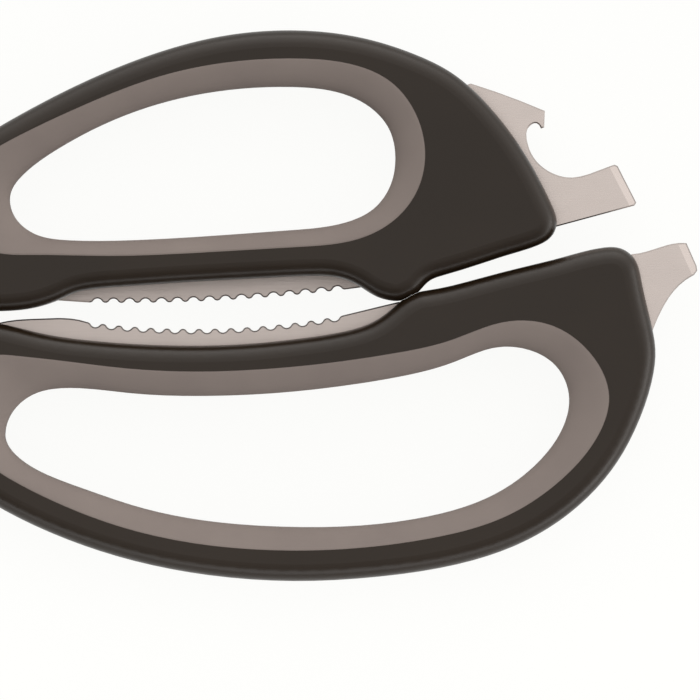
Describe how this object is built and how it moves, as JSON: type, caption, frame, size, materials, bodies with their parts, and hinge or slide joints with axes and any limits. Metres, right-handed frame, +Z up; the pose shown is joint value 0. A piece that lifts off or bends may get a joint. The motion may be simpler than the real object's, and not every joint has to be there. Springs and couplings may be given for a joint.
{
  "type": "kitchen shears",
  "caption": "Kitchen shears with finger-loop handles, soft grip liners, toothed jaws between the handles, and a cap lifter, lid lifter and driver tips at the handle ends.",
  "frame": {"origin": "middle of the footprint, on the surface that the shears lie on, closed", "axes": "+X from the blade tips towards the handle ends, +Y towards the shorter upper handle, +Z up through the front face"},
  "size_m": [0.2346, 0.0854, 0.012],
  "materials": {
    "blade_steel": "satin brushed stainless steel",
    "handle_plastic": "black moulded plastic, satin",
    "soft_grip": "warm grey soft-touch grip, matte",
    "pivot_steel": "turned steel",
    "washer_plastic": "natural nylon"
  },
  "bodies": {
    "lower_half": {"front_blade": "blade_steel", "lower_handle_front_shell": "handle_plastic", "lower_handle_back_shell": "handle_plastic", "lower_grip_liner": "soft_grip", "pivot_bolt": "pivot_steel", "glide_washer": "washer_plastic", "spring_washer": "pivot_steel", "pivot_nut": "pivot_steel"},
    "upper_half": {"back_blade": "blade_steel", "upper_handle_front_shell": "handle_plastic", "upper_handle_back_shell": "handle_plastic", "upper_grip_liner": "soft_grip"}
  },
  "joints": [
    {"name": "blade_pivot", "type": "hinge", "parent": "lower_half", "child": "upper_half", "pos_m": [-0.02183, -0.0016, 0.0047], "axis": [0, 0, 1], "range_deg": [0, 80]}
  ]
}
